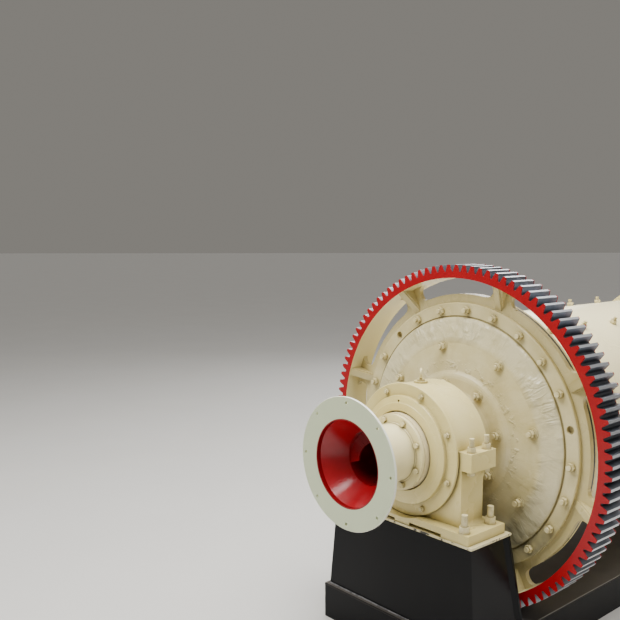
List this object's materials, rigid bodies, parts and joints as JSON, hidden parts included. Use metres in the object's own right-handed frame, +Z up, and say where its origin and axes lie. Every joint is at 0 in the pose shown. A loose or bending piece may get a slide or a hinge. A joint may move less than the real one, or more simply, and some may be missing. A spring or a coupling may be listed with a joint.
{
  "type": "ball mill",
  "caption": "Horizontal ball mill: bolted steel drum with a girth gear, hollow trunnions in split bearings on plinths, and flanged feed and discharge spouts on a long base.",
  "frame": {"origin": "on the ground under the middle of the mill, at the centre of the bounding box's bottom", "axes": "+Z up, +Y along the mill axis from the feed end to the discharge end, +X to the side seen in the picture"},
  "size_m": [1.7916, 4.116, 1.921],
  "materials": {
    "cream_paint": "semi-gloss cream paint on cast and fabricated steel",
    "cream_bolts": "cream paint over the bolts, nuts and studs",
    "spout_grey_cream": "smooth grey-cream paint",
    "red_paint": "glossy red paint",
    "gear_red_and_steel": "red paint on both faces, machined bare steel on the teeth",
    "black_paint": "glossy black paint on fabricated steel plate",
    "journal_steel": "turned and polished journal",
    "bronze": "machined bearing bronze"
  },
  "bodies": {
    "mill_frame": {"base_end_beams": "black_paint", "base_rails": "black_paint", "base_cross_beams": "black_paint", "base_deck": "black_paint", "plinth_feed": "black_paint", "plinth_discharge": "black_paint", "seat_plate_feed": "cream_paint", "seat_plate_discharge": "cream_paint", "housing_feed": "cream_paint", "housing_discharge": "cream_paint", "cap_feed": "cream_paint", "cap_discharge": "cream_paint", "bush_feed": "bronze", "bush_discharge": "bronze", "cover_feed": "cream_paint", "cover_discharge": "cream_paint", "rear_ring_feed": "cream_paint", "rear_ring_discharge": "cream_paint", "cover_bolts_feed": "cream_bolts", "cover_bolts_discharge": "cream_bolts", "cap_studs_feed": "cream_bolts", "cap_studs_discharge": "cream_bolts", "hold_bolts_feed": "cream_bolts", "hold_bolts_discharge": "cream_bolts", "eyes": "cream_bolts"},
    "drum": {"shell": "cream_paint", "shell_flanges": "cream_paint", "shell_bolts": "cream_bolts", "head_feed": "cream_paint", "head_discharge": "cream_paint", "trunnion_feed": "journal_steel", "trunnion_discharge": "journal_steel", "gear_rim": "gear_red_and_steel", "gear_spider": "cream_paint", "head_bolts_feed": "cream_bolts", "head_bolts_discharge": "cream_bolts", "liner_bolts_feed": "cream_bolts", "liner_bolts_discharge": "cream_bolts", "spout_feed": "spout_grey_cream", "spout_discharge": "spout_grey_cream", "cone_feed": "red_paint", "cone_discharge": "red_paint", "feed_vane": "red_paint", "spout_bolts_feed": "cream_bolts", "spout_bolts_discharge": "cream_bolts"}
  },
  "joints": [
    {"name": "drum_spin", "type": "hinge", "parent": "mill_frame", "child": "drum", "pos_m": [0, 0, 1.025], "axis": [0, 1, 0], "continuous": true}
  ]
}
